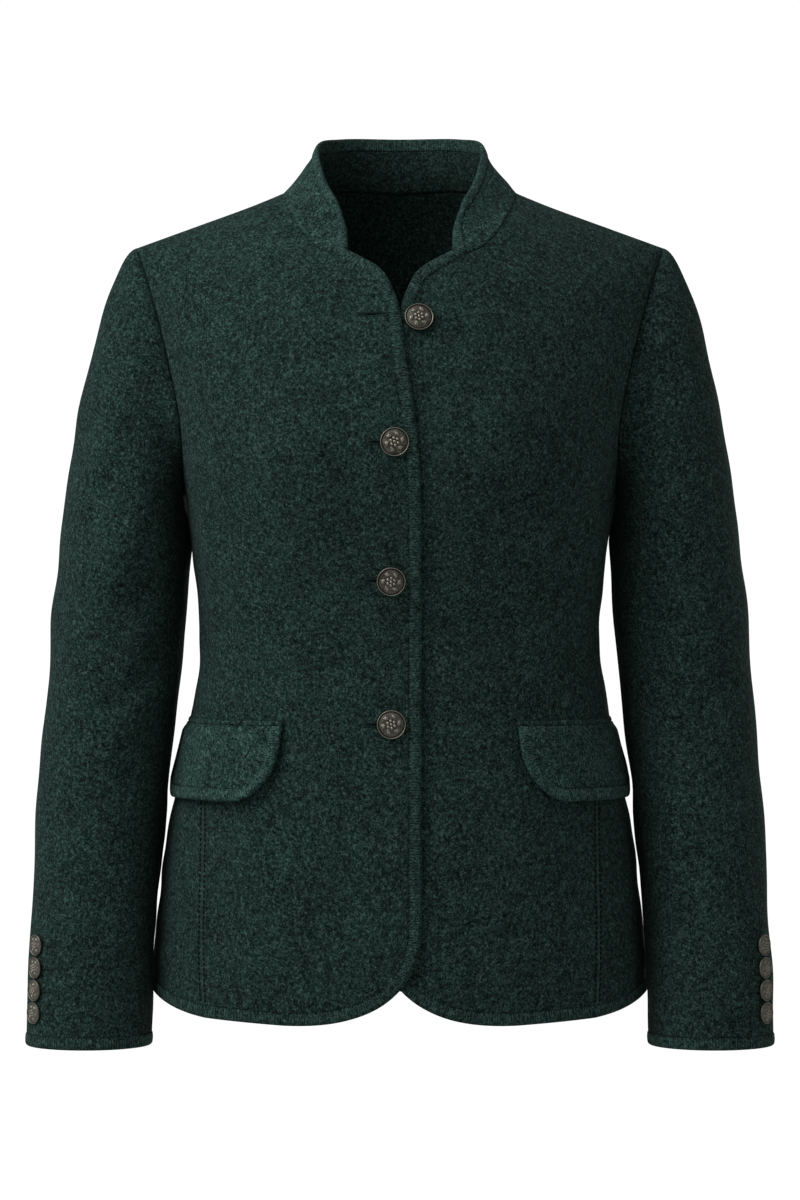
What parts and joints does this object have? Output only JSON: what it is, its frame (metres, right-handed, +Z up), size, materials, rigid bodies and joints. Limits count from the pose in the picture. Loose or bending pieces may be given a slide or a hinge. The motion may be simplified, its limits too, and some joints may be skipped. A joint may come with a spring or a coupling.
{
  "type": "tyrolean loden jacket",
  "caption": "Women's hip-length boiled-wool jacket, filled out and hollow, with a notched stand collar, metal-buttoned front, curved corners, flap pockets and button-trimmed sleeves.",
  "frame": {"origin": "on the centre line between the two neck points, at the height of the shoulder seams beside the collar", "axes": "+Z up, the wearer faces -Y, the wearer's left is +X"},
  "size_m": [0.5276, 0.2608, 0.6521],
  "materials": {
    "loden": "boiled wool, bottle-green melange with a short felted nap",
    "loden_band": "the same wool folded and stitched as an edge band, a little lighter",
    "old_silver": "embossed metal with a dark antique patina"
  },
  "bodies": {
    "root": {"back": "loden", "collar": "loden", "collar_band": "loden_band", "cuff_band_left": "loden_band", "cuff_band_right": "loden_band", "cuff_button_left_1": "old_silver", "cuff_button_left_2": "old_silver", "cuff_button_left_3": "old_silver", "cuff_button_left_4": "old_silver", "cuff_button_right_1": "old_silver", "cuff_button_right_2": "old_silver", "cuff_button_right_3": "old_silver", "cuff_button_right_4": "old_silver", "flap_band_left": "loden_band", "flap_band_right": "loden_band", "front_band_left": "loden_band", "front_band_right": "loden_band", "front_button_1": "old_silver", "front_button_2": "old_silver", "front_button_3": "old_silver", "front_button_4": "old_silver", "front_left": "loden", "front_right": "loden", "hem_band": "loden_band", "pocket_flap_left": "loden", "pocket_flap_right": "loden", "pocket_welt_left": "loden_band", "pocket_welt_right": "loden_band", "side_panel_left": "loden", "side_panel_right": "loden", "under_sleeve_left": "loden", "under_sleeve_right": "loden", "upper_sleeve_left": "loden", "upper_sleeve_right": "loden"}
  },
  "joints": []
}
